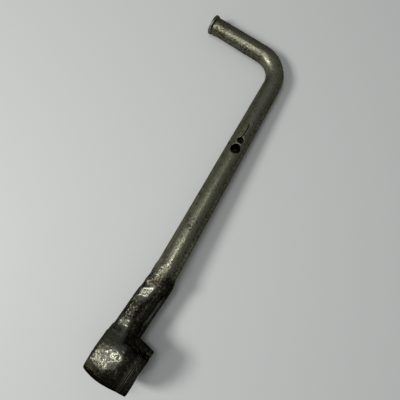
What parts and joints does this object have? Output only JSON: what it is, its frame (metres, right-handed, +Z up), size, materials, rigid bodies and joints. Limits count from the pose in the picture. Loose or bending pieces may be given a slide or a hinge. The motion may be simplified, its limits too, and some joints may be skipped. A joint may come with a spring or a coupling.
{
  "type": "lug wrench",
  "caption": "Crank-shaped lug wrench: a forged socket cup for wheel nuts on a tapered round bar, bent at the far end into a short collared hand arm.",
  "frame": {"origin": "on the floor plane, below the middle of the bounding box, with the tool lying on its side on the cup and the end collar", "axes": "+X from the socket cup along the neck and bar to the bend, +Y the way the hand arm points, -Y the way the socket opens, +Z up"},
  "size_m": [0.2824, 0.1094, 0.0399],
  "materials": {
    "forged_head": "worn dark forged steel, hammered and polished by handling, brown in the hollows",
    "bar_steel": "worn dark steel with an olive-grey patina and fine pitting",
    "collar_steel": "dark patinated steel, worn bright on its edge",
    "weld_steel": "dark brown dressed weld metal"
  },
  "bodies": {
    "root": {"socket_head": "forged_head", "crank_bar": "bar_steel", "end_collar": "collar_steel", "neck_weld": "weld_steel"}
  },
  "joints": []
}
